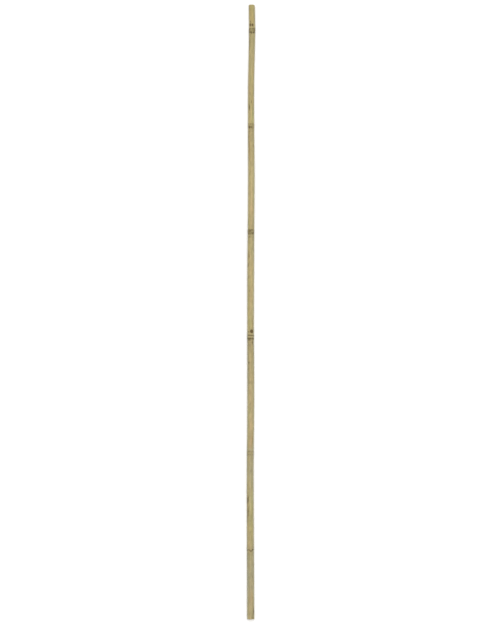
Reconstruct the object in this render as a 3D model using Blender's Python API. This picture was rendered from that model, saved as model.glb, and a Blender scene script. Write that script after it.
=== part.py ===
"""A sawn bamboo cane for the garden, lying on its side.

Metres, +Z up. The cane lies along +Y with its thick butt end at -Y and its thin tip at +Y.
The origin is under its middle, on the surface that it lies on.
A place is a distance along the cane from the butt. An angle goes round it: 0 is the top,
and 90 is the +X side.
"""

import math
from typing import NamedTuple

import bmesh
import bpy
from mathutils import Vector

MM = 0.001

# Driving dimensions
LENGTH = 1.800
SIDES = 28
STATION_STEP = 30 * MM  # between rings of points on a plain stretch

# (place, diameter) of the skin between the nodes' swellings
DIAMETERS = (
    (0.000, 20.8 * MM),
    (0.075, 20.4 * MM),
    (0.200, 20.3 * MM),
    (0.345, 20.1 * MM),
    (0.485, 19.5 * MM),
    (0.680, 20.0 * MM),
    (0.826, 19.3 * MM),
    (0.930, 19.3 * MM),
    (1.060, 19.6 * MM),
    (1.135, 18.7 * MM),
    (1.280, 18.8 * MM),
    (1.443, 18.0 * MM),
    (1.640, 17.6 * MM),
    (1.725, 18.0 * MM),
    (1.800, 17.7 * MM),
)

# (place, sideways) of the centre line, which wanders a little as a grown stem does
SIDEWAYS = (
    (0.000, -0.8 * MM),
    (0.200, -1.6 * MM),
    (0.364, -2.3 * MM),
    (0.487, -1.9 * MM),
    (0.584, -0.9 * MM),
    (0.701, -0.7 * MM),
    (0.826, -1.2 * MM),
    (1.023, -0.8 * MM),
    (1.135, -0.1 * MM),
    (1.290, 1.0 * MM),
    (1.443, 0.2 * MM),
    (1.565, 0.3 * MM),
    (1.660, 2.2 * MM),
    (1.725, 3.1 * MM),
    (1.800, 2.3 * MM),
)


class Branch(NamedTuple):
    """The scar of a branch that was cut off flush, just above its node."""

    angle: float
    length: float
    width: float
    height: float


class Node(NamedTuple):
    """A node: its sheath scar's place, how it meets the surface, and how that scar runs."""

    place: float
    gap: float  # under its swelling, and below 0 where the cane rests on it
    dip: float  # how far the sheath scar sinks towards the butt
    dip_angle: float
    dip_spread: float
    branches: tuple


REST = -0.37 * MM  # a swelling that carries the cane is rubbed flat by this much

CUT_AT_482 = Branch(-155, 8 * MM, 6 * MM, 0.9 * MM)
CUT_AT_823 = Branch(18, 9 * MM, 7.6 * MM, 1.0 * MM)
CUT_AT_1132 = Branch(-140, 8 * MM, 6.4 * MM, 1.0 * MM)
CUT_AT_1442 = Branch(150, 7 * MM, 5.6 * MM, 0.9 * MM)
CUTS_AT_1721 = (
    Branch(-34, 6.5 * MM, 4.6 * MM, 0.8 * MM),
    Branch(10, 6 * MM, 4.2 * MM, 0.8 * MM),
)

NODES = (
    Node(0.204, REST, 5.4 * MM, 8, 24, ()),
    Node(0.482, 0.8 * MM, 0.8 * MM, -150, 55, (CUT_AT_482,)),
    Node(0.823, REST, 0.7 * MM, 18, 45, (CUT_AT_823,)),
    Node(1.132, 1.6 * MM, 0.9 * MM, -140, 55, (CUT_AT_1132,)),
    Node(1.442, 1.2 * MM, 0.8 * MM, 150, 55, (CUT_AT_1442,)),
    Node(1.721, REST, 0.8 * MM, -14, 50, CUTS_AT_1721),
)

# The relief of every node, measured from its sheath scar towards the tip
LIP_HEIGHT = 0.35 * MM  # the sheath scar's thin rim
LIP_BELOW = 1.6 * MM
LIP_ABOVE = 1.2 * MM
SWELL_PLACE = 6.5 * MM  # the rounded swelling above it
SWELL_HEIGHT = 0.45 * MM
SWELL_HALF = 5.5 * MM
CREASE_PLACE = 10.2 * MM  # the fine crease above the swelling
CREASE_DEPTH = 0.15 * MM
CREASE_HALF = 1.1 * MM
BRANCH_PLACE = 21.5 * MM  # the middle of a branch scar
BRANCH_EDGE = 0.35  # the share of a branch scar that slopes up to its flat top
GROOVE_DEPTH = 0.45 * MM  # the shallow groove that runs on above a branch
GROOVE_LENGTH = 130 * MM
GROOVE_ANGLE = 24
DIP_REACH = 24 * MM  # along the cane, over which a dip of the sheath scar dies out
NODE_STATIONS = tuple(
    u * MM
    for u in (-12, -5, -1.6, -0.5, 0.4, 1.4, 3.6, 5.2, 6.5, 7.8, 9.2, 10.2, 11.2, 14)
)
BRANCH_STATIONS = tuple(u * MM for u in (17, 18.6, 21.5, 24.4, 26, 31))

# The sawn ends, with the hollow that each opens
BUTT_BORE = 11.2 * MM  # across the hollow
TIP_BORE = 9.4 * MM
BORE_SPREAD = 1.06  # a hollow is this much wider at its inner end
BORE_RINGS = 5
DIAPHRAGM_GAP = 3.5 * MM  # from the sheath scar's place to the wall across the node
DIAPHRAGM_BULGE = 1.6 * MM
DIAPHRAGM_CORE = 0.5  # the flat middle of that wall, as a share of the hollow
SAW_EDGE = 0.4 * MM  # broken off the outer edge of a cut
CORNER_DROP = 1.9 * MM  # worn off the tip's outer edge on its +X side
CORNER_ANGLE = 34
CORNER_REACH = 12 * MM
CORNER_WIDTH = 2.6 * MM  # across the cut, from the skin to where the wear ends
END_GAP = 0.9 * MM  # under each sawn end

COLOUR = (0.47, 0.39, 0.19, 1.0)
ROUGHNESS = 0.5
SHARP_ANGLE = 50  # between faces, from which their edge is shaded sharp


def smooth_through(table, place):
    """The value at a place, on a smooth curve through a table of (place, value)."""
    last = len(table) - 1
    i = max(k for k in range(last) if k == 0 or table[k][0] <= place)
    (x1, v1), (x2, v2) = table[i], table[i + 1]
    x0, v0 = table[max(i - 1, 0)]
    x3, v3 = table[min(i + 2, last)]
    span = x2 - x1
    t = (place - x1) / span
    rise1 = (v2 - v0) / (x2 - x0) * span
    rise2 = (v3 - v1) / (x3 - x1) * span
    return (
        v1 * (2 * t**3 - 3 * t**2 + 1)
        + rise1 * (t**3 - 2 * t**2 + t)
        + v2 * (3 * t**2 - 2 * t**3)
        + rise2 * (t**3 - t**2)
    )


def bump(x, below, above):
    """A hump that is 1 at x = 0, and 0 from -below down and from above up."""
    reach = below if x < 0 else above
    return 0.5 + 0.5 * math.cos(math.pi * min(abs(x) / reach, 1))


def turn_between(a, b):
    """The angle from b to a, the short way round, in degrees."""
    return (a - b + 180) % 360 - 180


def crest_of(node):
    return node.place + SWELL_PLACE


def skin_radius(place):
    return smooth_through(DIAMETERS, place) / 2


def height_table():
    """(place, height) of the centre line, which lets three nodes carry the cane."""
    table = [(0.0, skin_radius(0) + END_GAP)]
    for node in NODES:
        crest = crest_of(node)
        table.append((crest, skin_radius(crest) + SWELL_HEIGHT + node.gap))
    table.append((LENGTH, skin_radius(LENGTH) + END_GAP))
    return table


HEIGHTS = height_table()


def centre(place):
    return Vector(
        (smooth_through(SIDEWAYS, place), place, smooth_through(HEIGHTS, place))
    )


def branch_relief(u, angle, radius, branch):
    """The boss that a cut branch leaves, and the groove above it."""
    turn = turn_between(angle, branch.angle)
    across = radius * math.radians(turn) / (branch.width / 2)
    along = (u - BRANCH_PLACE) / (branch.length / 2)
    inside = (1 - math.hypot(along, across)) / BRANCH_EDGE
    boss = branch.height * min(max(inside, 0), 1)
    above = u - BRANCH_PLACE - branch.length / 2
    fade = bump(above, branch.length / 2, GROOVE_LENGTH)
    groove = GROOVE_DEPTH * fade * math.exp(-((turn / GROOVE_ANGLE) ** 2))
    return boss - groove


def node_relief(place, angle, radius):
    """How far the skin stands out from its plain radius, for the nodes near a place."""
    relief = 0.0
    for node in NODES:
        u = place - node.place
        relief += LIP_HEIGHT * bump(u, LIP_BELOW, LIP_ABOVE)
        relief += SWELL_HEIGHT * bump(u - SWELL_PLACE, SWELL_HALF, SWELL_HALF)
        relief -= CREASE_DEPTH * bump(u - CREASE_PLACE, CREASE_HALF, CREASE_HALF)
        for branch in node.branches:
            relief += branch_relief(u, angle, radius, branch)
    return relief


def scar_dip(place, angle):
    """How far a ring of points near a node sinks towards the butt, as its scar does."""
    return sum(
        node.dip
        * bump(place - node.place, DIP_REACH, DIP_REACH)
        * math.exp(-((turn_between(angle, node.dip_angle) / node.dip_spread) ** 2))
        for node in NODES
    )


def around(place, angle, radius):
    """The point at an angle and a radius from the centre line, never under the surface."""
    turn = math.radians(angle)
    point = centre(place) + radius * Vector((math.sin(turn), 0, math.cos(turn)))
    point.z = max(point.z, 0.0)
    return point


def worn_corner(place, angle):
    """How far the skin near the tip sinks on its worn side."""
    near_tip = bump(LENGTH - place, CORNER_REACH, CORNER_REACH)
    return CORNER_DROP * near_tip * math.exp(-((turn_between(angle, 90) / CORNER_ANGLE) ** 2))


def skin_point(place, angle, inset=0.0):
    radius = skin_radius(place)
    point = around(place, angle, radius + node_relief(place, angle, radius) - inset)
    point.y -= scar_dip(place, angle) + worn_corner(place, angle)
    return point


def skin_stations():
    """Places of the rings on the skin: close at the nodes, and even between them."""
    fixed = {SAW_EDGE, LENGTH - SAW_EDGE}
    for node in NODES:
        steps = NODE_STATIONS + (BRANCH_STATIONS if node.branches else ())
        fixed |= {node.place + u for u in steps}
    fixed = sorted(fixed)
    places = []
    for start, end in zip(fixed, fixed[1:]):
        count = max(1, round((end - start) / STATION_STEP))
        places += [start + (end - start) * k / count for k in range(count)]
    return [*places, fixed[-1]]


def bore_rings(mouth, floor, bore):
    """Rings of a hollow, from its mouth in a sawn end to its floor at a node."""
    rings = []
    for k in range(BORE_RINGS + 1):
        share = k / BORE_RINGS
        radius = bore / 2 * (1 + (BORE_SPREAD - 1) * share)
        place = mouth + (floor - mouth) * share
        rings.append(lambda angle, p=place, r=radius: around(p, angle, r))
    into = math.copysign(DIAPHRAGM_BULGE, floor - mouth)
    rings.append(lambda angle: around(floor + into, angle, bore / 2 * DIAPHRAGM_CORE))
    return rings


def cane_rings():
    """Every ring of points, from the butt's hollow over the skin to the tip's hollow."""
    butt_floor = NODES[0].place - DIAPHRAGM_GAP
    tip_floor = NODES[-1].place + DIAPHRAGM_GAP
    rings = bore_rings(0.0, butt_floor, BUTT_BORE)[::-1]
    rings.append(lambda angle: skin_point(0.0, angle, SAW_EDGE))
    for place in skin_stations():
        rings.append(lambda angle, p=place: skin_point(p, angle))
    rings.append(lambda angle: skin_point(LENGTH, angle, SAW_EDGE))
    rings.append(lambda angle: around(LENGTH, angle, skin_radius(LENGTH) - CORNER_WIDTH))
    return rings + bore_rings(LENGTH, tip_floor, TIP_BORE)


def sweep(rings):
    """One closed surface through the rings, each extruded from the one before."""
    skin = bmesh.new()
    side = skin.verts.layers.int.new("side")
    edge = bmesh.ops.create_circle(skin, segments=SIDES, radius=LENGTH)["verts"]
    for k, vert in enumerate(edge):
        vert[side] = k
    loop = list(skin.edges)
    for n, ring in enumerate(rings):
        if n:
            made = bmesh.ops.extrude_edge_only(skin, edges=loop)["geom"]
            edge = [g for g in made if isinstance(g, bmesh.types.BMVert)]
            loop = [g for g in made if isinstance(g, bmesh.types.BMEdge)]
        for vert in edge:
            vert.co = ring(360 * vert[side] / SIDES)
    open_edges = [e for e in skin.edges if e.is_boundary]
    bmesh.ops.holes_fill(skin, edges=open_edges, sides=0)
    bmesh.ops.recalc_face_normals(skin, faces=skin.faces)
    return skin


def centred(skin):
    """Moves the cane so that its box's middle is over the origin."""
    middle = Vector()
    for axis in (0, 1):
        values = [vert.co[axis] for vert in skin.verts]
        middle[axis] = (min(values) + max(values)) / 2
    bmesh.ops.translate(skin, verts=skin.verts, vec=-middle)


def bamboo():
    material = bpy.data.materials.new("bamboo")
    material.use_nodes = True
    shader = material.node_tree.nodes["Principled BSDF"]
    shader.inputs["Base Color"].default_value = COLOUR
    shader.inputs["Roughness"].default_value = ROUGHNESS
    shader.inputs["Metallic"].default_value = 0.0
    return material


def build_cane():
    skin = sweep(cane_rings())
    centred(skin)
    mesh = bpy.data.meshes.new("bamboo_cane")
    skin.to_mesh(mesh)
    skin.free()
    mesh.materials.append(bamboo())
    mesh.shade_smooth()
    mesh.set_sharp_from_angle(angle=math.radians(SHARP_ANGLE))
    cane = bpy.data.objects.new("bamboo_cane", mesh)
    bpy.context.scene.collection.objects.link(cane)
    return cane


def main():
    for obj in list(bpy.data.objects):
        bpy.data.objects.remove(obj)
    build_cane()


main()
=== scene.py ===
import math

import bmesh
import bpy
import numpy as np
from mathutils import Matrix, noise


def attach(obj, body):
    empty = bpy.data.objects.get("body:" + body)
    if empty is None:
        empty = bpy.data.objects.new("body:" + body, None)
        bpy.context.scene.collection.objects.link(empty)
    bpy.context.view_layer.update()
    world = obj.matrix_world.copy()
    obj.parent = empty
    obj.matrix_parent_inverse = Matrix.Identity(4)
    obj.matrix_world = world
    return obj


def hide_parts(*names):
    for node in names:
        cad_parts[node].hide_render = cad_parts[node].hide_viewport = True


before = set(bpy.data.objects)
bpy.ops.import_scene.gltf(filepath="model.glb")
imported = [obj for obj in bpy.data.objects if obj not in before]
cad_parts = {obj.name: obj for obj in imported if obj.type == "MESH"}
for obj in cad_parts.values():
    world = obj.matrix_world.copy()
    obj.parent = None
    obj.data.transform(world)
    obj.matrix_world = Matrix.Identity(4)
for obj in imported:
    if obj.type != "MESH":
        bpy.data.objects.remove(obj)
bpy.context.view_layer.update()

# One length of bamboo stem, lying down and seen from straight above. Lengths are in mm, and the
# finished mesh in metres. A place is counted along the cane from its butt. An angle goes round
# it in degrees: 0 is the top and 90 is the +X side.
mm = 0.001

cane = {
    "node": "bamboo_cane",
    "length": 1800.0,
    "sides": 90,
    "plainStep": 3.4,  # between rings of points on a plain stretch
    "diameters": (  # (place, diameter) between the knots' swellings
        (0, 20.8), (75, 20.4), (200, 20.3), (345, 20.1), (485, 19.5), (680, 20.0), (826, 19.3),
        (930, 19.3), (1060, 19.6), (1135, 18.7), (1280, 18.8), (1443, 18.0), (1640, 17.6),
        (1725, 18.0), (1800, 17.7),
    ),
    "sideways": (  # (place, sideways) of the centre line
        (0, -0.8), (200, -1.6), (364, -2.3), (487, -1.9), (584, -0.9), (701, -0.7), (826, -1.2),
        (1023, -0.8), (1135, -0.1), (1290, 1.0), (1443, 0.2), (1565, 0.3), (1660, 2.2),
        (1725, 3.1), (1800, 2.3),
    ),
    "endGap": 0.9,  # under each sawn end
    "weld": 0.001,  # points that lie closer than this are one
    "sharpAngle": 50,  # an edge that turns further stays sharp
}

# Each gap is the air under a knot's swelling, and is less than 0 where the knot rests on its
# flattened underside. Each dip of the scar is (depth, angle, spread), and each branch's cut
# face is (angle, length, width, height).
knots = [
    {"place": 204, "gap": -0.37, "dips": [(5.0, 8, 23), (2.4, -68, 36)], "branches": []},
    {"place": 482, "gap": 0.8, "dips": [(0.8, -150, 55)], "branches": [(-155, 8.0, 6.0, 0.9)]},
    {"place": 822, "gap": -0.37, "dips": [(0.7, 24, 45)], "branches": [(22, 9.4, 9.2, 1.0)]},
    {"place": 1130.4, "gap": 1.6, "dips": [(0.9, -140, 55)], "branches": [(-140, 8.0, 6.4, 1.0)]},
    {"place": 1440.6, "gap": 1.2, "dips": [(0.8, 150, 55)], "branches": [(150, 7.0, 5.6, 0.9)]},
    {"place": 1719.4, "gap": -0.37, "dips": [(0.8, -14, 50)],
     "branches": [(-34, 7.6, 5.3, 0.8), (11, 7.3, 4.9, 0.8)]},
]

knotForm = {  # every knot's relief, measured from its sheath scar towards the tip
    "rim": 0.38, "rimBelow": 1.6, "rimAbove": 0.45,
    "slot": 0.16, "slotPlace": 1.1, "slotHalf": 0.8,
    "swell": 0.45, "swellPlace": 6.5, "swellHalf": 5.5,
    "crease": 0.20, "creasePlace": 10.2, "creaseHalf": 0.8,
    "shoulder": 0.10, "shoulderPlace": 11.8, "shoulderBelow": 1.0, "shoulderAbove": 7.0,
    "wrinkle": 0.035, "wrinkleStep": 1.3, "wrinklePlace": 4.5, "wrinkleHalf": 5.0,
    "wrinkleShare": 0.7, "wrinkleMost": 1.6,  # the wrinkles come and go in patches
    "dipReach": 24.0,
    "from": -16.0, "fineFrom": -3.0, "fineTo": 12.6, "to": 17.0,
    "step": 1.3, "fineStep": 0.37,
    "seedSpan": 97,  # a knot's seed is its place divided by this
    "uneven": {  # how much each varies round the cane, in how many lumps, and its own seed
        "rim": (0.45, 7, 0), "swell": (0.14, 1.2, 5), "edge": (0.35, 5, 9),
        "crease": (0.3, 3, 13), "wrinkle": (3.0, 2, 17),
    },
}

branchForm = {
    "place": 21.5,
    "collar": 0.30, "collarEnd": 1.06,  # a slope from this share inside the cut's edge to here
    "lobe": 0.07, "lobes": 1.6,  # how far the cut's edge wanders, and how often
    "dish": 0.16, "dishFrom": 0.45, "dishTo": 0.78, "dishLean": 0.5,
    "pith": 0.35, "pithFrom": 0.12, "pithTo": 0.30,
    "groove": 0.45, "grooveLength": 130.0, "grooveSpread": 24.0,
    "farOff": 2.0,
    "from": 15.6, "to": 29.0, "step": 0.62, "fadeTo": 36.0, "fadeStep": 2.4,
}

sawnEnds = {
    "buttBore": 11.2, "tipBore": 9.4,  # across each hollow
    "spread": 1.06,  # a hollow is this much wider at its inner end
    "boreSteps": 26, "boreBunching": 0.7,  # its rings lie closer together at the mouth
    "wallSteps": 7, "cutSteps": 11,
    "wallGap": 3.5, "wallBulge": 1.6,  # of the wall across the first and last knot
    "edge": 0.4,  # broken off the outer edge of a cut
    "edgeTurns": (0, 30, 60),
    "edgeRelief": 0.25,  # the share of the skin's relief that is left there
    "edgeFade": 2,  # edge widths in, the relief is whole
    "nearSteps": (1.0, 1.8, 2.8, 4.2, 6.0, 8.5, 11.5),
    "sawStep": 1.7, "sawDepth": 0.045, "sawTurn": 24, "sawDrift": 1.5,
    "fray": 0.45, "frayTeeth": 26, "fraySeed": 2.2,
    "frayAngle": 190, "fraySpread": 60, "frayReach": 1.2,
    "cornerDrop": 2.8, "cornerAngle": 90, "cornerSpread": 40, "cornerReach": 14.0,
    "cornerWidth": 3.6,
}


def smoothThrough(table, places):
    # a smooth curve through a table of (place, value)
    marks, values = np.array(table, float).T
    last = len(marks) - 1
    low = np.clip(np.searchsorted(marks, places, side="right") - 1, 0, last - 1)
    high = low + 1
    before, after = np.maximum(low - 1, 0), np.minimum(low + 2, last)
    span = marks[high] - marks[low]
    t = (places - marks[low]) / span
    startRise = (values[high] - values[before]) / (marks[high] - marks[before]) * span
    endRise = (values[after] - values[low]) / (marks[after] - marks[low]) * span
    return (values[low] * (2 * t**3 - 3 * t**2 + 1) + startRise * (t**3 - 2 * t**2 + t)
            + values[high] * (3 * t**2 - 2 * t**3) + endRise * (t**3 - t**2))


def hump(x, below, above=None):
    # 1 at x = 0, falling to 0 at -below and at above, which is the same where it isn't given
    reach = below if above is None else np.where(x < 0, below, above)
    return 0.5 + 0.5 * np.cos(np.pi * np.minimum(np.abs(x) / reach, 1))


def bell(x, spread):
    return np.exp(-((x / spread) ** 2))


def easeUp(x, low, high):
    t = np.clip((x - low) / (high - low), 0, 1)
    return t * t * (3 - 2 * t)


def turnFrom(angle, other):
    return (angle - other + 180) % 360 - 180


def skinRadius(place):
    return smoothThrough(cane["diameters"], place) / 2


def heights():
    # (place, height) of the centre line, which lets three knots carry the cane
    butt, tip = ((end, skinRadius(end) + cane["endGap"]) for end in (0.0, cane["length"]))
    crests = [knot["place"] + knotForm["swellPlace"] for knot in knots]
    between = [(crest, skinRadius(crest) + knotForm["swell"] + knot["gap"])
               for crest, knot in zip(crests, knots)]
    return [butt, *between, tip]


# The cane's outline, as a turner would cut it: each line runs from one point to the next
# as (place, radius), and the next region starts where it ends.

def stepped(start, end, step):
    count = max(1, round((end - start) / step))
    return [start + (end - start) * k / count for k in range(count)]


def skinPlaces():
    # rings of points lie close together at the knots and the sawn ends
    near = [sawnEnds["edge"], *sawnEnds["nearSteps"]]
    fixed = {*near, *(cane["length"] - place for place in near)}
    fixed |= {cane["length"] * k / bakeMap["strips"] for k in range(1, bakeMap["strips"])}
    form, scar = knotForm, branchForm
    for knot in knots:
        steps = stepped(form["from"], form["fineFrom"], form["step"])
        steps += stepped(form["fineFrom"], form["fineTo"], form["fineStep"])
        if knot["branches"]:
            steps += stepped(form["fineTo"], scar["from"], form["step"])
            steps += stepped(scar["from"], scar["to"], scar["step"])
            steps += stepped(scar["to"], scar["fadeTo"], scar["fadeStep"])
        else:
            steps += stepped(form["fineTo"], form["to"], form["step"])
        fixed |= {knot["place"] + step for step in steps}
    fixed = sorted(fixed)
    places = []
    for start, end in zip(fixed, fixed[1:]):
        places += stepped(start, end, cane["plainStep"])
    return places + fixed[-1:]


def skinLine():
    turns = [math.radians(turn) for turn in sawnEnds["edgeTurns"]]
    rounds = [(1 - math.cos(turn), 1 - math.sin(turn)) for turn in turns]
    edge, length = sawnEnds["edge"], cane["length"]
    butt = [(edge * along, skinRadius(0.0) - edge * inward) for along, inward in rounds]
    tip = [(length - edge * along, skinRadius(length) - edge * inward) for along, inward in rounds]
    return butt + [(place, skinRadius(place)) for place in skinPlaces()] + tip[::-1]


def cutLine(place, bore):
    rim, steps = skinRadius(place) - sawnEnds["edge"], sawnEnds["cutSteps"]
    return [(place, bore / 2 + (rim - bore / 2) * k / steps) for k in range(steps + 1)]


def boreLine(floor, mouth, bore):
    steps, bunching = sawnEnds["boreSteps"], sawnEnds["boreBunching"]
    shares = [(k / steps) ** bunching for k in range(steps + 1)]
    wider = bore / 2 * (sawnEnds["spread"] - 1)
    return [(floor + (mouth - floor) * share, bore / 2 + wider * (1 - share)) for share in shares]


def wallLine(floor, mouth, bore):
    shares = [k / sawnEnds["wallSteps"] for k in range(sawnEnds["wallSteps"] + 1)]
    bulge = math.copysign(sawnEnds["wallBulge"], floor - mouth)
    return [(floor + bulge * (1 - share**2), bore / 2 * sawnEnds["spread"] * share)
            for share in shares]


def caneOutline():
    butt = (knots[0]["place"] - sawnEnds["wallGap"], 0.0, sawnEnds["buttBore"])
    tip = (knots[-1]["place"] + sawnEnds["wallGap"], cane["length"], sawnEnds["tipBore"])
    lines = {
        "buttWall": wallLine(*butt), "buttHollow": boreLine(*butt),
        "buttCut": cutLine(*butt[1:]), "skin": skinLine(), "tipCut": cutLine(*tip[1:])[::-1],
        "tipHollow": boreLine(*tip)[::-1], "tipWall": wallLine(*tip)[::-1],
    }
    outline = [(*point, region) for region, line in lines.items() for point in line[:-1]]
    return outline + [(*lines["tipWall"][-1], "tipWall")]


def spun(outline):
    # the outline turned once round the Y axis, each point keeping its number
    shell = bmesh.new()
    ring = shell.verts.layers.int.new("ring")
    line = [shell.verts.new((0, place, radius)) for place, radius, _ in outline]
    for number, point in enumerate(line):
        point[ring] = number
    for pair in zip(line, line[1:]):
        shell.edges.new(pair)
    bmesh.ops.spin(shell, geom=[*shell.verts, *shell.edges], cent=(0, 0, 0), axis=(0, 1, 0),
                   angle=math.tau, steps=cane["sides"], use_merge=True)
    bmesh.ops.remove_doubles(shell, verts=shell.verts, dist=cane["weld"])
    bmesh.ops.recalc_face_normals(shell, faces=shell.faces)
    mesh = bpy.data.meshes.new("cane")
    shell.to_mesh(mesh)
    shell.free()
    return mesh


def valuesOf(items, name, kind, width=1):
    held = np.empty(len(items) * width, kind)
    items.foreach_get(name, held)
    return held.reshape(-1, width) if width > 1 else held


lumps = {  # (strength, width, length, seed) of what grew unevenly along the cane
    "waves": (0.08, 14.0, 70.0, 3.1), "fibres": (0.05, 1.5, 150.0, 8.7),  # of the skin
    "wrinkles": (1.6, 4.0, 3.0, 9.9),  # where they come and go
    "buttSaw": (1.0, 3.0, 50.0, 1.3), "tipSaw": (1.0, 3.0, 50.0, 6.1),
    "lining": (0.16, 5.0, 40.0, 4.4), "liningFibres": (0.05, 0.9, 30.0, 7.2),
    "walls": (0.3, 2.0, 9.0, 5.5),
    "mould": (2.0, 2.4, 3.6, 6.6),  # in the knots' stains
}


def grown(name, at):
    # the noise of that name, from minus to plus its strength, on the straightened cane
    strength, width, length, seed = lumps[name]
    turn = np.radians(at["angle"])
    points = np.stack([at["radius"] * np.sin(turn) / width + seed, at["place"] / length,
                       at["radius"] * np.cos(turn) / width], 1)
    return strength * np.array([noise.noise(point) for point in points.tolist()])


def ringNoise(count, seed, angle):
    # -1 to 1 round one ring, in about this many lumps
    turns = np.radians(np.arange(360))
    held = [noise.noise((count * math.cos(t), count * math.sin(t), seed)) for t in turns]
    return np.interp(angle % 360, np.arange(361), [*held, held[0]])


def roundKnot(knot, name, angle):
    amount, count, seed = knotForm["uneven"][name]
    return amount * ringNoise(count, knot["place"] / knotForm["seedSpan"] + seed, angle)


def branchRelief(past, at, scar, seed):
    # a collar round a cut face with a sunk pith, and the groove that runs on above it
    form = branchForm
    angle, length, width, height = scar
    turn = turnFrom(at["angle"], angle)
    along = (past - form["place"]) / (length / 2)
    across = at["radius"] * np.radians(turn) / (width / 2)
    towards = np.degrees(np.arctan2(across, along))
    out = np.hypot(along, across) * (1 + form["lobe"] * ringNoise(form["lobes"], seed, towards))
    face = 1 - easeUp(out, 1 - form["collar"], form["collarEnd"])
    lean = 1 + form["dishLean"] * along
    dish = form["dish"] * (1 - easeUp(out, form["dishFrom"], form["dishTo"])) * lean
    pith = form["pith"] * (1 - easeUp(out, form["pithFrom"], form["pithTo"]))
    above = past - form["place"] - length / 2
    groove = (form["groove"] * hump(above, length / 2, form["grooveLength"])
              * bell(turn, form["grooveSpread"]))
    return height * face - dish - pith - groove


def knotRelief(past, at, knot, patchy):
    # how far the skin stands out, by how far it is past the knot's scar
    form, angle = knotForm, at["angle"]
    rough = 1 + roundKnot(knot, "rim", angle)
    edge = past - roundKnot(knot, "edge", angle)
    relief = form["rim"] * rough * hump(edge, form["rimBelow"], form["rimAbove"])
    relief -= form["slot"] * rough * hump(edge - form["slotPlace"], form["slotHalf"])
    swell = 1 + roundKnot(knot, "swell", angle)
    relief += form["swell"] * swell * hump(past - form["swellPlace"], form["swellHalf"])
    crease = past - form["creasePlace"] - roundKnot(knot, "crease", angle)
    relief -= form["crease"] * hump(crease, form["creaseHalf"])
    relief += form["shoulder"] * hump(past - form["shoulderPlace"], form["shoulderBelow"],
                                      form["shoulderAbove"])
    folds = np.sin(math.tau * past / form["wrinkleStep"] + roundKnot(knot, "wrinkle", angle))
    relief += form["wrinkle"] * patchy * folds * hump(past - form["wrinklePlace"],
                                                      form["wrinkleHalf"])
    for number, scar in enumerate(knot["branches"]):
        relief += branchRelief(past, at, scar, knot["place"] / form["seedSpan"] + number)
    return relief


def sawMarks(at, name, turn):
    across = at["radius"] * np.sin(np.radians(at["angle"]) + np.radians(turn))
    drift = grown(name, at)
    rows = np.sin(math.tau * across / sawnEnds["sawStep"] + sawnEnds["sawDrift"] * drift)
    return sawnEnds["sawDepth"] * (rows + drift)


def sawnShift(at):
    # along the cane: the saw marks, the frayed rims, and the tip's worn corner
    place, angle, region = at["place"], at["angle"], at["region"]
    form, rim = sawnEnds, skinRadius(place)
    shift = np.where(region == "buttCut", sawMarks(at, "buttSaw", form["sawTurn"]), 0)
    shift += np.where(region == "tipCut", sawMarks(at, "tipSaw", -form["sawTurn"]), 0)
    atRim = easeUp(at["radius"], rim - form["frayReach"], rim)
    torn = (form["fray"] * np.abs(ringNoise(form["frayTeeth"], form["fraySeed"], angle))
            * bell(turnFrom(angle, form["frayAngle"]), form["fraySpread"]))
    outside = np.isin(region, ("buttCut", "skin", "tipCut"))
    for end, outward in ((0.0, -1), (cane["length"], 1)):
        nearEnd = hump(place - end, form["frayReach"])
        shift += outward * np.where(outside, torn * atRim * nearEnd, 0)
    corner = (hump(cane["length"] - place, form["cornerReach"])
              * bell(turnFrom(angle, form["cornerAngle"]), form["cornerSpread"])
              * easeUp(at["radius"], rim - form["cornerWidth"], rim))
    return shift - np.where(outside, form["cornerDrop"] * corner, 0)


def shaped(at):
    # moves every point from the turned outline to where it grew
    place, angle, region = at["place"], at["angle"], at["region"]
    skin = region == "skin"
    relief = grown("waves", at) + grown("fibres", at)
    patchy = np.clip(knotForm["wrinkleShare"] + grown("wrinkles", at), 0, knotForm["wrinkleMost"])
    shift = sawnShift(at)
    for knot in knots:
        past = place - knot["place"]
        relief += knotRelief(past, at, knot, patchy)
        for depth, side, spread in knot["dips"]:
            dip = depth * hump(past, knotForm["dipReach"]) * bell(turnFrom(angle, side), spread)
            shift -= np.where(skin, dip, 0)
    fromEnd = np.minimum(place, cane["length"] - place) / sawnEnds["edge"]
    least = sawnEnds["edgeRelief"]
    relief *= least + (1 - least) * easeUp(fromEnd, 0, sawnEnds["edgeFade"])

    out = at["radius"] + np.where(skin, relief, 0)
    hollow = np.isin(region, ("buttHollow", "tipHollow"))
    out += np.where(hollow, grown("lining", at) + grown("liningFibres", at), 0)
    wall = np.isin(region, ("buttWall", "tipWall"))
    shift += np.where(wall, grown("walls", at), 0)

    turn = np.radians(angle)
    x = smoothThrough(cane["sideways"], place) + out * np.sin(turn)
    y = place + shift - cane["length"] / 2
    z = smoothThrough(heights(), place) + out * np.cos(turn)
    x -= (x.min() + x.max()) / 2
    return np.stack([x, y, np.maximum(z, 0)], 1)


# Colour: how green, warm, bleached or stained the skin is at a place, as soft patches. The warm and
# bleached kinds also hold painted light: strips the whole length that make the top warmer and the
# sides paler.

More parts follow.
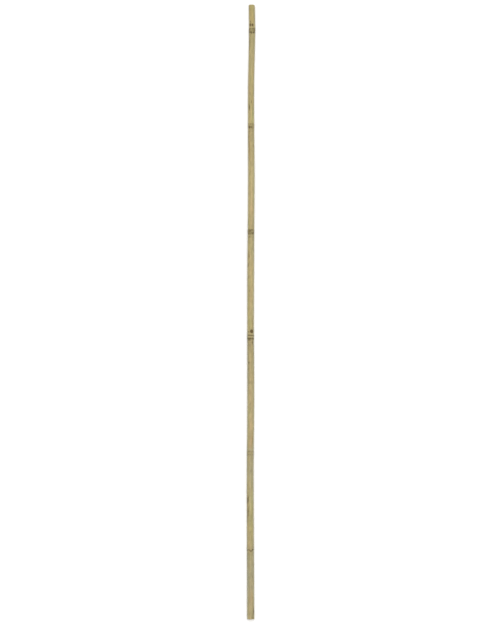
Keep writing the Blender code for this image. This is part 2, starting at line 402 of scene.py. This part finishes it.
stains = {  # (place, angle, length, width, strength)
    "olive": [
        (1474, 46, 50, 8, 0.9), (1466, 26, 36, 4, 0.9), (1562, -10, 90, 8, 0.2),
        (290, 14, 110, 9, 0.8), (350, 40, 80, 8, 0.5), (1095, 0, 60, 10, 0.3),
        (905, -40, 120, 8, 0.5), (1700, 10, 70, 10, 0.3), (560, -60, 90, 8, 0.3),
        (860, 0, 40, 12, 0.5), (1793, 5, 18, 9, 1.0), (1120, 50, 14, 4, 0.5),
        (1150, -40, 60, 8, 0.5), (190, -20, 30, 14, 0.5), (1300, 160, 200, 12, 0.7),
        (700, 175, 160, 14, 0.6), (130, 150, 120, 12, 0.7),
    ],
    "golden": [
        (1768, 0, 60, 11, 0.9), (1475, 0, 60, 9, 0.35), (1520, 10, 70, 8, 0.4),
        (1000, 20, 90, 8, 0.4), (250, 20, 60, 8, 0.5), (1580, 20, 90, 7, 0.5),
        (900, 160, 160, 10, 0.5), (400, -150, 120, 9, 0.5), (1540, -160, 140, 9, 0.6),
    ],
    "warmAndLitTop": [
        (516, 2, 56, 10, 0.9), (576, 6, 90, 9, 0.5), (226, -3, 50, 10, 0.8),
        (50, 5, 120, 12, 0.5), (1180, 12, 80, 7, 0.65), (995, 15, 150, 8, 0.5),
        (1565, -35, 110, 6, 0.5), (1762, -5, 40, 9, 0.55), (1375, -32, 90, 6, 0.45),
        # the last one runs the whole length along the top: painted light, the top warmer where the
        # light falls on it
        (715, 10, 200, 9, 0.35), (1265, -12, 60, 7, 0.35), (900, -4, 2600, 7, 0.18),
    ],
    "bleachedAndLitSides": [
        (560, 0, 300, 60, 0.12), (370, 0, 160, 60, 0.15), (100, 0, 240, 60, 0.25),
        # the two at place 900 run the whole length along both sides: painted light, the sides paler
        # and greyer where the light falls on them
        (900, 60, 2600, 13, 0.5), (900, -54, 2600, 8, 0.35), (130, -45, 140, 10, 0.6),
        (140, 30, 120, 9, 0.3), (440, 0, 90, 18, 0.3), (720, -50, 160, 8, 0.3),
        (497, 0, 9, 10, 0.4),
    ],
    "dark": [
        (1516, 8, 12, 3.0, 0.9), (1499, -34, 21, 4.8, 0.85), (1386, -48, 60, 4.5, 0.35),
        (1539, -18, 12, 4.0, 0.4), (1382, -30, 40, 4.0, 0.35), (1387, 40, 14, 5.0, 0.4),
        (1063, -31, 14, 3.4, 0.9), (1038, -52, 10, 3.5, 0.7), (1001, -36, 9, 3.0, 0.5),
        (963, -16, 9, 4.0, 0.7), (1771, -14, 12, 3.0, 0.3), (1121, -25, 4, 9.0, 0.4),
        (1085, 28, 8, 3.0, 0.4), (810.5, 34, 11, 4.5, 0.75), (868, 38, 44, 4.0, 0.45),
        (818.5, -28, 4, 12.0, 0.8), (751, -36, 8, 4.0, 0.5), (732, -36, 9, 4.0, 0.5),
        (694, -10, 12, 9.0, 0.35), (631, -15, 4, 3.0, 0.45), (805, -2, 3.5, 8.0, 0.4),
        (751, -14, 3, 11.0, 0.35), (434, 12, 10, 6.0, 0.45), (452, -4, 4, 7.0, 0.3),
        (345, -54, 28, 5.0, 0.6), (525, 40, 60, 4.0, 0.3), (285, -5, 26, 5.0, 0.28),
        (253, -8, 10, 4.0, 0.35), (843, -45, 3, 4.0, 0.5), (352, -38, 22, 4.2, 1.0),
        (315, -41, 32, 4.2, 1.0), (288, -54, 40, 5.0, 0.45), (124, 32, 9, 2.8, 0.55),
        (22, 48, 28, 4.6, 0.9), (5, 25, 6, 8.0, 0.5), (205, 38, 5.5, 4.0, 0.9),
        (1751, -29, 6, 4.0, 0.7), (234, -22, 6, 5.0, 0.35), (1441.5, -30, 8, 5.4, 1.0),
        (1727, 52, 12, 6.0, 0.55), (1131, 55, 8, 6.0, 0.4), (1743, -12, 4, 8.0, 0.3),
        (1741, -50, 6, 4.0, 0.6), (1748, -22, 5, 3.0, 0.5), (841.5, -28, 4, 8.0, 0.6),
        (1713, -15, 9, 5.0, 0.4), (1135, -30, 10, 6.0, 0.5), (1129, -32, 6, 4.6, 0.6),
        (1140, -45, 12, 7.0, 0.4), (1690, -52, 48, 6.0, 0.6), (745, -50, 150, 5.0, 0.32),
        (1000, -52, 170, 4.0, 0.3), (510, -55, 130, 4.0, 0.15), (100, -55, 120, 5.0, 0.2),
        (1428, -5, 18, 12.0, 0.2), (1420, -55, 40, 5.0, 0.35), (640, 150, 30, 3.4, 0.6),
        (1240, -140, 45, 4.0, 0.6), (1620, 165, 20, 3.0, 0.6), (90, -165, 40, 4.0, 0.5),
        (940, 120, 26, 3.0, 0.6),
    ],
}

# How dark each knot's scar, crease, whole band and the rings below it are, how wide the
# marks of the scar and crease reach, and how blotched it all is
knotShades = [
    {"scar": 1.00, "crease": 0.10, "band": 0.05, "below": 0.10, "wide": (3.0, 1.3), "blotch": 0.25},
    {"scar": 0.30, "crease": 0.42, "band": 0.16, "below": 0.18, "wide": (3.6, 1.8), "blotch": 0.4},
    {"scar": 1.08, "crease": 1.60, "band": 0.06, "below": 0.30, "wide": (4.6, 1.9), "blotch": 0.3},
    {"scar": 0.35, "crease": 0.15, "band": 0.40, "below": 0.42, "wide": (5.0, 4.0), "blotch": 0.9},
    {"scar": 0.34, "crease": 0.40, "band": 0.26, "below": 0.30, "wide": (3.6, 2.4), "blotch": 0.5},
    {"scar": 0.50, "crease": 0.55, "band": 0.40, "below": 0.32, "wide": (5.0, 2.4), "blotch": 0.5},
]

knotStainForm = {  # measured from the sheath scar towards the tip
    "soft": 0.8, "softPlace": 0.8,  # the wide, weaker part of the scar's stain
    "linePlace": 0.6, "lineBelow": 1.0, "lineAbove": 0.8,
    "bandStart": (-6, -2), "bandEnd": (9, 15),
    "ringsBelow": (-11, -18), "ringHalf": 2.2,
    "uneven": 0.45, "unevenCount": 3, "seedSpan": 53,
}

tones = (  # (place, how light the skin is)
    (0, 0.94), (60, 0.95), (190, 0.87), (225, 0.965), (340, 1.03), (420, 0.95), (452, 0.91),
    (478, 0.93), (500, 0.92), (535, 1.00), (640, 1.02), (695, 0.94), (740, 0.98), (780, 0.94),
    (815, 0.86), (850, 1.03), (960, 1.08), (1050, 1.05), (1100, 0.98), (1160, 0.99),
    (1210, 1.06), (1320, 1.06), (1390, 1.01), (1440, 0.98), (1460, 1.13), (1490, 1.04),
    (1545, 0.95), (1600, 1.01), (1690, 1.00), (1730, 1.00), (1765, 0.93), (1800, 1.01),
)


def patches(kind, at):
    amount = np.zeros(len(at["place"]))
    for place, angle, length, width, strength in stains[kind]:
        across = at["radius"] * np.radians(turnFrom(at["angle"], angle))
        amount += strength * bell(at["place"] - place, length / 2) * bell(across, width / 2)
    return np.minimum(amount, 1)


def knotStains(at):
    form = knotStainForm
    amount = np.zeros(len(at["place"]))
    mould = grown("mould", at)
    for knot, shade in zip(knots, knotShades):
        past = at["place"] - knot["place"]
        edge = past - roundKnot(knot, "edge", at["angle"])
        scarWidth, creaseWidth = shade["wide"]
        scar = np.maximum(form["soft"] * hump(edge - form["softPlace"], scarWidth),
                          hump(edge - form["linePlace"], form["lineBelow"], form["lineAbove"]))
        band = easeUp(past, *form["bandStart"]) * (1 - easeUp(past, *form["bandEnd"]))
        here = shade["scar"] * scar
        here += shade["crease"] * hump(past - knotForm["creasePlace"], creaseWidth)
        here += shade["band"] * band
        for place in form["ringsBelow"]:
            here += shade["below"] * hump(past - place, form["ringHalf"])
        uneven = 1 + form["uneven"] * ringNoise(form["unevenCount"],
                                                knot["place"] / form["seedSpan"], at["angle"])
        amount += here * np.maximum(uneven + shade["blotch"] * mould, 0)
    return np.minimum(amount, 1)


def fromPith(at):
    # 0 in the middle of a branch's cut face, 1 at its edge, and farOff away from every branch
    nearest = np.full(len(at["place"]), branchForm["farOff"])
    for knot in knots:
        past = at["place"] - knot["place"] - branchForm["place"]
        for angle, length, width, _ in knot["branches"]:
            across = at["radius"] * np.radians(turnFrom(at["angle"], angle))
            out = np.hypot(past / (length / 2), across / (width / 2))
            nearest = np.minimum(nearest, out)
    return nearest


def fromHollow(at):
    # 0 at the hollow of the nearer end, and 1 at the skin
    nearButt = at["place"] < cane["length"] / 2
    bore = np.where(nearButt, sawnEnds["buttBore"], sawnEnds["tipBore"]) / 2
    return np.clip((at["radius"] - bore) / (skinRadius(at["place"]) - bore), 0, 1)


bakeMap = {  # where each region lies in the flat layout of the surface
    "strips": 6, "stripGap": 0.035, "stripBottom": 0.005, "stripTop": 0.805,
    "rounding": 1e-6,  # puts a ring on a border with the strip above it
    "discs": {  # middle and radius
        "buttCut": (0.088, 0.905, 0.084), "tipCut": (0.266, 0.905, 0.084),
        "buttWall": (0.404, 0.905, 0.044), "tipWall": (0.502, 0.905, 0.044),
    },
    "tubes": {  # lowest and highest corner
        "buttHollow": (0.556, 0.820, 0.995, 0.900), "tipHollow": (0.556, 0.912, 0.790, 0.992),
    },
}


def skinStrips(rings, run, band, along, around):
    # equal lengths of the skin, unrolled and side by side
    strips, gap, bottom = bakeMap["strips"], bakeMap["stripGap"], bakeMap["stripBottom"]
    length = cane["length"] / strips
    strip = (rings["place"][band] + bakeMap["rounding"]) // length
    strip = np.clip(strip, 0, strips - 1).astype(int)
    skin = np.flatnonzero(rings["region"] == "skin")
    borders = [skin[0]]
    for number in range(1, strips):
        borders.append(skin[np.argmin(np.abs(rings["place"][skin] - length * number))])
    borders = run[np.array([*borders, skin[-1] + 1])]
    share = (along - borders[strip]) / (borders[strip + 1] - borders[strip])
    u = (strip + gap / 2 + (1 - gap) * around) / strips
    return np.stack([u, bottom + (bakeMap["stripTop"] - bottom) * share], 1)


def laidOut(mesh, rings, at):
    # the map that the surface is baked through, corner by corner of every face
    corner = valuesOf(mesh.loops, "vertex_index", np.int32)
    first = valuesOf(mesh.polygons, "loop_start", np.int32)
    face = np.repeat(np.arange(len(first)), valuesOf(mesh.polygons, "loop_total", np.int32))
    band = np.minimum.reduceat(at["ring"][corner], first)[face]
    region = rings["region"][band]
    run = np.hypot(np.diff(rings["place"]), np.diff(rings["radius"]))
    run = np.r_[0, np.cumsum(run)]
    along, radius, angle = run[at["ring"][corner]], at["radius"][corner], at["angle"][corner]
    # a face across the seam under the cane stays in one piece
    crosses = (np.maximum.reduceat(angle, first) - np.minimum.reduceat(angle, first))[face] > 180
    around = (np.where(crosses & (angle < 0), angle + 360, angle) + 180) / 360
    uv = skinStrips(rings, run, band, along, around)

    turn = np.radians(angle)
    flat = radius[:, None] * np.stack([np.sin(turn), np.cos(turn)], 1)
    for name, (middleU, middleV, reach) in bakeMap["discs"].items():
        here = region == name
        spot = flat[here] if name.startswith("butt") else flat[here][:, ::-1]
        uv[here] = (middleU, middleV) + spot / radius[here].max() * reach
    for name, (lowU, lowV, highU, highV) in bakeMap["tubes"].items():
        here = region == name
        share = (along[here] - along[here].min()) / np.ptp(along[here])
        if name.startswith("tip"):
            share = 1 - share
        uv[here] = np.stack([lowU + (highU - lowU) * share,
                             lowV + (highV - lowV) * around[here]], 1)
    layer = mesh.uv_layers.new(name="OFBake")
    layer.data.foreach_set("uv", uv.astype(np.float32).ravel())
    return region[first]


# Finishes: every pattern reads the cane's own attributes, so that it follows the stem. A
# pattern is (width, length, seed, detail), in mm. A ramp is (from, to) of what it reads, and
# then (start, end) of what it gives, where that isn't 0 to 1.

def added(tree, kind, inputs=(), **settings):
    node = tree.nodes.new("ShaderNode" + kind)
    for name, value in settings.items():
        setattr(node, name, value)
    for name, value in dict(inputs).items():
        if isinstance(value, bpy.types.NodeSocket):
            tree.links.new(value, node.inputs[name])
        else:
            node.inputs[name].default_value = value
    return node


def newFinish(name):
    finish = bpy.data.materials.new(name)
    finish.use_nodes = True
    return finish, finish.node_tree, finish.node_tree.nodes["Principled BSDF"]


def fieldOf(tree, name):
    return added(tree, "Attribute", attribute_name=name).outputs["Fac"]


def straightened(tree, scale, start):
    # where a point lies on the straightened cane
    straight = added(tree, "Attribute", attribute_name="straight").outputs["Vector"]
    return added(tree, "Mapping", {"Vector": straight, "Scale": scale,
                                   "Location": start}).outputs[0]


def patterned(tree, width, length, seed, detail):
    # 0 to 1, in lumps of that size
    across, along = 1 / (width * mm), 1 / (length * mm)
    place = straightened(tree, (across, along, across), (seed, seed, seed))
    return added(tree, "TexNoise", {"Vector": place, "Scale": 1.0,
                                    "Detail": detail}).outputs["Fac"]


def worked(tree, operation, first, second):
    # kept between 0 and 1
    node = added(tree, "Math", {0: first, 1: second}, operation=operation, use_clamp=True)
    return node.outputs[0]


def times(tree, first, second):
    return worked(tree, "MULTIPLY", first, second)


def plus(tree, first, second):
    return worked(tree, "ADD", first, second)


def ramped(tree, value, ramp):
    low, high, start, end = (*ramp, 0.0, 1.0)[:4]
    return added(tree, "MapRange", {"Value": value, "From Min": low, "From Max": high,
                                    "To Min": start, "To Max": end}).outputs[0]


def blended(tree, share, under, over, how="MIX"):
    node = added(tree, "Mix", data_type="RGBA", blend_type=how)
    for place, value in ((0, share), (6, under), (7, over)):  # where a colour mix takes them
        if isinstance(value, bpy.types.NodeSocket):
            tree.links.new(value, node.inputs[place])
        else:
            node.inputs[place].default_value = (*value, 1) if place else value
    return node.outputs[2]


def bumped(tree, shader, height, form):
    strength, depth = form["bump"]
    bump = added(tree, "Bump", {"Height": height, "Strength": strength, "Distance": depth * mm})
    tree.links.new(bump.outputs[0], shader.inputs["Normal"])


skinFinish = {
    "tan": (0.405, 0.329, 0.148), "straw": (0.469, 0.384, 0.192),
    "olive": (0.300, 0.304, 0.096), "golden": (0.440, 0.350, 0.105),
    # warm also gives the painted light on the top, and bleached the painted light on the sides,
    # along the whole length
    "warmAndLitTop": (0.505, 0.322, 0.156), "bleachedAndLitSides": (0.400, 0.382, 0.262),
    "brown": (0.096, 0.060, 0.018), "scar": (0.084, 0.070, 0.022),
    "wood": (0.088, 0.056, 0.015), "splinter": (0.240, 0.168, 0.068),
    "patterns": {
        "fibres": (0.7, 55.0, 3.0, 4.0), "mottle": (5.0, 42.0, 11.0, 2.0),
        "blotches": (15.0, 150.0, 23.0, 2.0), "scratches": (0.30, 16.0, 31.0, 3.0),
        "specks": (0.7, 1.3, 47.0, 1.0), "grain": (0.25, 0.25, 5.0, 2.0),
        "streaks": (2.2, 24.0, 61.0, 2.0), "hairlines": (0.28, 26.0, 71.0, 1.0),
        "frays": (0.55, 4.5, 83.0, 3.0), "smudges": (7.0, 11.0, 91.0, 3.0),
    },
    "strawShare": (0.35, 0.65, 0.0, 0.55),  # of the blotches
    "tints": {  # the ramp of the mottle that breaks up each tint
        "olive": (0.2, 0.6), "warmAndLitTop": (0.75, 0.3), "golden": (0.8, 0.4), "bleachedAndLitSides": (0.2, 0.55),
    },
    "strayOlive": (0.52, 0.75, 0.0, 0.28),
    "shades": {  # what the darkest and lightest of each pattern multiply the skin by
        "fibres": ((0.84, 0.84, 0.84), (1.0, 1.0, 1.0)),
        "streaks": ((0.81, 0.82, 0.79), (1.06, 1.04, 1.01)),
        "smudges": ((0.89, 0.885, 0.87), (1.08, 1.08, 1.06)),
    },
    "shadeRamp": (0.3, 0.7), "lightest": 1.25,
    "worn": (0.60, 0.72, 0.0, 0.45), "lines": (0.36, 0.28, 0.0, 0.40),
    "spots": (0.66, 0.80, 0.0, 0.8), "spotGroups": (0.5, 0.62),
    "dirtRamp": (0.35, 0.65),
    "ragged": (0.25, 0.75, -0.3, 0.3), "stainEdge": (0.12, 0.95),
    "mouldSpread": (0.2, 0.8, 0.7, 1.3),
    "mouldy": (0.2, 0.8, -0.3, 0.3), "mouldEdge": (0.10, 0.95),
    # on the branches' cut faces and round them
    "splinters": (0.52, 0.66), "pith": (0.16, 0.42, 1.0, 0.0), "cutFace": (0.78, 0.70),
    "barkSplinters": (0.45, 0.7), "bark": (0.98, 1.45, 0.7, 0.0), "barkEdge": (0.10, 0.55),
    "barkEnd": (1.6, 1.2),
    "gloss": 0.30, "roughness": (0.42, 0.66), "dullRamp": (0.4, 0.9),
    "fibreHeight": 0.7, "grainHeight": 0.12, "bump": (0.5, 0.08),  # its strength and depth
}


def grownColour(tree, seen):
    # tan and straw, tinted where the fields say, and shaded by the finer patterns
    form = skinFinish
    colour = blended(tree, ramped(tree, seen["blotches"], form["strawShare"]), form["tan"],
                     form["straw"])
    # the warm and bleached tints also paint light: a warmer top and paler sides along the whole
    # length
    for kind, ramp in form["tints"].items():
        share = times(tree, fieldOf(tree, kind), ramped(tree, seen["mottle"], ramp))
        if kind == "olive":
            share = plus(tree, share, ramped(tree, seen["mottle"], form["strayOlive"]))
        colour = blended(tree, share, colour, form[kind])
    for name, (dark, light) in form["shades"].items():
        shade = blended(tree, ramped(tree, seen[name], form["shadeRamp"]), dark, light)
        colour = blended(tree, 1.0, colour, shade, "MULTIPLY")
    tone = ramped(tree, fieldOf(tree, "tone"), (0.0, form["lightest"]))
    shade = blended(tree, tone, (0.0,) * 3, (form["lightest"],) * 3)
    return blended(tree, 1.0, colour, shade, "MULTIPLY")


def smallMarks(tree, seen, colour):
    # pale scratches, dark hairlines and groups of spots
    form = skinFinish
    colour = blended(tree, ramped(tree, seen["scratches"], form["worn"]), colour, form["straw"])
    colour = blended(tree, ramped(tree, seen["hairlines"], form["lines"]), colour, form["brown"])
    spots = times(tree, ramped(tree, seen["specks"], form["spots"]),
                  ramped(tree, seen["blotches"], form["spotGroups"]))
    return blended(tree, spots, colour, form["brown"])


def torn(tree, field, pattern, ramp, edge):
    # a soft field, made ragged by a pattern and then given a firmer edge
    return ramped(tree, plus(tree, field, ramped(tree, pattern, ramp)), edge)


def bambooSkin():
    finish, tree, shader = newFinish("bambooSkin")
    form = skinFinish
    seen = {name: patterned(tree, *size) for name, size in form["patterns"].items()}
    colour = smallMarks(tree, seen, grownColour(tree, seen))

    dirt = blended(tree, ramped(tree, seen["mottle"], form["dirtRamp"]), form["brown"],
                   form["scar"])
    stained = torn(tree, fieldOf(tree, "dark"), seen["frays"], form["ragged"], form["stainEdge"])
    colour = blended(tree, stained, colour, dirt)
    mould = times(tree, seen["specks"], ramped(tree, seen["frays"], form["mouldSpread"]))
    scars = torn(tree, fieldOf(tree, "knotStain"), mould, form["mouldy"], form["mouldEdge"])
    colour = blended(tree, scars, colour, dirt)

    out = fieldOf(tree, "fromPith")
    rim = torn(tree, ramped(tree, out, form["bark"]), mould, form["mouldy"], form["barkEdge"])
    bark = blended(tree, ramped(tree, seen["frays"], form["barkSplinters"]), dirt,
                   form["splinter"])
    rim = times(tree, rim, ramped(tree, out, form["barkEnd"]))
    colour = blended(tree, rim, colour, bark)
    wood = blended(tree, ramped(tree, seen["specks"], form["splinters"]), form["wood"],
                   form["splinter"])
    wood = blended(tree, ramped(tree, out, form["pith"]), wood, form["brown"])
    cut = ramped(tree, out, form["cutFace"])
    colour = blended(tree, cut, colour, wood)
    tree.links.new(colour, shader.inputs["Base Color"])

    shader.inputs["Specular IOR Level"].default_value = form["gloss"]
    dull = plus(tree, plus(tree, scars, cut), ramped(tree, seen["mottle"], form["dullRamp"]))
    roughness = ramped(tree, dull, (0.0, 1.0, *form["roughness"]))
    tree.links.new(roughness, shader.inputs["Roughness"])
    bumped(tree, shader, plus(tree, times(tree, seen["fibres"], form["fibreHeight"]),
                              times(tree, seen["grain"], form["grainHeight"])), form)
    return finish


cutFinish = {
    "straw": (0.560, 0.455, 0.270), "weathered": (0.340, 0.280, 0.175),
    "bundle": (0.150, 0.095, 0.048), "bark": (0.200, 0.185, 0.080),
    "inner": (0.95, 2.0), "outer": (0.42, 9.0),  # (spacing, seed) of the bundles of fibre
    "scatter": 0.75, "dot": (0.40, 0.24), "denser": (0.5, 0.7), "bundleShare": 0.75,
    "weather": (3.2, 3.2, 13.0, 3.0), "weatherRamp": (0.35, 0.7, 0.1, 0.8),
    "barkRamp": (0.90, 1.0, 0.0, 0.8),
    "roughness": 0.82, "torn": (0.4, 0.4, 17.0, 2.0), "bump": (0.6, 0.1),
}


def bundleDots(tree, spacing, seed):
    # bundles of fibre, seen end on
    across = 1 / (spacing * mm)
    place = straightened(tree, (across, 0, across), (seed, 0, seed))
    spots = added(tree, "TexVoronoi", {"Vector": place, "Scale": 1.0,
                                       "Randomness": cutFinish["scatter"]})
    return ramped(tree, spots.outputs["Distance"], cutFinish["dot"])


def sawnWood():
    finish, tree, shader = newFinish("sawnWood")
    form = cutFinish
    rim = fieldOf(tree, "rim")  # 0 by the hollow, and 1 at the skin
    dots = blended(tree, ramped(tree, rim, form["denser"]), bundleDots(tree, *form["inner"]),
                   bundleDots(tree, *form["outer"]))
    weather = ramped(tree, patterned(tree, *form["weather"]), form["weatherRamp"])
    colour = blended(tree, weather, form["straw"], form["weathered"])
    colour = blended(tree, times(tree, dots, form["bundleShare"]), colour, form["bundle"])
    colour = blended(tree, ramped(tree, rim, form["barkRamp"]), colour, form["bark"])
    tree.links.new(colour, shader.inputs["Base Color"])
    shader.inputs["Roughness"].default_value = form["roughness"]
    bumped(tree, shader, patterned(tree, *form["torn"]), form)
    return finish


hollowFinish = {
    "paper": (0.600, 0.520, 0.360), "fibre": (0.430, 0.345, 0.205), "stain": (0.240, 0.170, 0.085),
    "fibres": (0.6, 30.0, 7.0, 3.0), "fibreRamp": (0.3, 0.7),
    "damp": (5.0, 22.0, 19.0, 2.0), "dampRamp": (0.52, 0.75, 0.0, 0.8),
    "roughness": 0.90, "bump": (0.6, 0.15),
}


def hollowLining():
    finish, tree, shader = newFinish("hollowLining")
    form = hollowFinish
    fibres = patterned(tree, *form["fibres"])
    colour = blended(tree, ramped(tree, fibres, form["fibreRamp"]), form["paper"], form["fibre"])
    damp = ramped(tree, patterned(tree, *form["damp"]), form["dampRamp"])
    colour = blended(tree, damp, colour, form["stain"])
    tree.links.new(colour, shader.inputs["Base Color"])
    shader.inputs["Roughness"].default_value = form["roughness"]
    bumped(tree, shader, fibres, form)
    return finish


def stored(mesh, name, values):
    kind, key = ("FLOAT_VECTOR", "vector") if values.ndim > 1 else ("FLOAT", "value")
    layer = mesh.attributes.new(name, kind, "POINT")
    layer.data.foreach_set(key, values.astype(np.float32).ravel())


def stainMesh(mesh, at):
    # the fields that the finishes read
    turn = np.radians(at["angle"])
    stored(mesh, "straight", mm * np.stack([at["radius"] * np.sin(turn), at["place"],
                                            at["radius"] * np.cos(turn)], 1))
    # the warm and bleached fields also carry painted light along the top and the sides
    for kind in stains:
        stored(mesh, kind, patches(kind, at))
    stored(mesh, "knotStain", knotStains(at))
    stored(mesh, "tone", smoothThrough(tones, at["place"]))
    stored(mesh, "fromPith", fromPith(at))
    stored(mesh, "rim", fromHollow(at))


def makeCane():
    outline = caneOutline()
    places, radii, regions = (np.array(column) for column in zip(*outline))
    rings = {"place": places, "radius": radii, "region": regions}
    mesh = spun(outline)
    print("turned", len(outline), "rings,", len(mesh.polygons), "faces")
    turned = valuesOf(mesh.vertices, "co", np.float32, 3)
    ring = valuesOf(mesh.attributes["ring"].data, "value", np.int32)
    at = {"ring": ring, "angle": np.degrees(np.arctan2(turned[:, 0], turned[:, 2])),
          **{name: values[ring] for name, values in rings.items()}}
    points = shaped(at)
    print("grew knots, scars and sawn ends")

    stainMesh(mesh, at)
    faceRegion = laidOut(mesh, rings, at)
    mesh.attributes.remove(mesh.attributes["ring"])
    print("stained and laid out")

    mesh.vertices.foreach_set("co", (points * mm).astype(np.float32).ravel())
    for finish in (hollowLining(), sawnWood(), bambooSkin()):
        mesh.materials.append(finish)
    slot = np.zeros(len(faceRegion), np.int32)  # the hollows and the walls across them
    slot[np.char.endswith(faceRegion, "Cut")] = 1
    slot[faceRegion == "skin"] = 2
    mesh.polygons.foreach_set("material_index", slot)
    mesh.shade_smooth()
    mesh.set_sharp_from_angle(angle=math.radians(cane["sharpAngle"]))
    mesh.update()
    piece = bpy.data.objects.new("bamboo_stem", mesh)
    bpy.context.scene.collection.objects.link(piece)
    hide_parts(cane["node"])
    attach(piece, "root")
    print("cane has", sum(len(face.vertices) - 2 for face in mesh.polygons), "triangles")


studio = {  # lengths in metres
    "floorSize": 120.0, "floorBelow": 0.0003, "floor": (0.93, 0.93, 0.925),
    "floorRoughness": 0.9, "floorGloss": 0.1,
    "light": 1.25,  # of the whole studio on the floor
    "lampShare": 0.60, "lampSpread": 50.0,
    "whiteUpTo": 0.05, "dimFrom": 0.17,  # the sky is white near the horizon
    "lampTurn": (-8, 1, 0),  # from straight above
    "cameraHeight": 20.0, "cameraReach": 100.0,
    "viewHeight": 1.8395,  # seen at the height of the cane's sides
    "viewMiddle": (-0.0104, -0.0058),
}


def makeFloor():
    shell = bmesh.new()
    bmesh.ops.create_grid(shell, x_segments=1, y_segments=1, size=studio["floorSize"] / 2)
    bmesh.ops.translate(shell, verts=shell.verts, vec=(0, 0, -studio["floorBelow"]))
    mesh = bpy.data.meshes.new("floor")
    shell.to_mesh(mesh)
    shell.free()
    finish, _, shader = newFinish("paleFloor")
    shader.inputs["Base Color"].default_value = (*studio["floor"], 1)
    shader.inputs["Roughness"].default_value = studio["floorRoughness"]
    shader.inputs["Specular IOR Level"].default_value = studio["floorGloss"]
    mesh.materials.append(finish)
    floor = bpy.data.objects.new("floor", mesh)
    bpy.context.scene.collection.objects.link(floor)


def makeLight(scene):
    world = bpy.data.worlds.new("studio")
    world.use_nodes = True
    tree = world.node_tree
    sky = tree.nodes["Background"]
    sky.inputs["Color"].default_value = (1, 1, 1, 1)
    ways = added(tree, "SeparateXYZ", {0: added(tree, "TexCoord").outputs["Generated"]})
    dim = studio["light"] * (1 - studio["lampShare"])
    strength = ramped(tree, ways.outputs["Z"], (studio["whiteUpTo"], studio["dimFrom"], 1.0, dim))
    tree.links.new(strength, sky.inputs["Strength"])
    scene.world = world
    light = bpy.data.lights.new("lamp", "SUN")
    light.angle = math.radians(studio["lampSpread"])
    lamp = bpy.data.objects.new("lamp", light)
    lamp.rotation_euler = [math.radians(turn) for turn in studio["lampTurn"]]
    steep = lamp.rotation_euler.to_matrix()[2][2]
    light.energy = math.pi * studio["light"] * studio["lampShare"] / steep
    scene.collection.objects.link(lamp)


def makeCamera(scene):
    # straight above the cane, and looking down on it
    lens = bpy.data.cameras.new("camera")
    distance = studio["cameraHeight"] - skinRadius(cane["length"] / 2) * mm
    lens.lens = lens.sensor_width * distance / studio["viewHeight"]
    lens.clip_end = studio["cameraReach"]
    camera = bpy.data.objects.new("camera", lens)
    camera.location = (*studio["viewMiddle"], studio["cameraHeight"])
    scene.collection.objects.link(camera)
    scene.camera = camera


def makeStudio():
    scene = bpy.context.scene
    scene.view_settings.view_transform = "Standard"
    makeFloor()
    makeLight(scene)
    makeCamera(scene)
    print("studio is lit")


makeCane()
makeStudio()
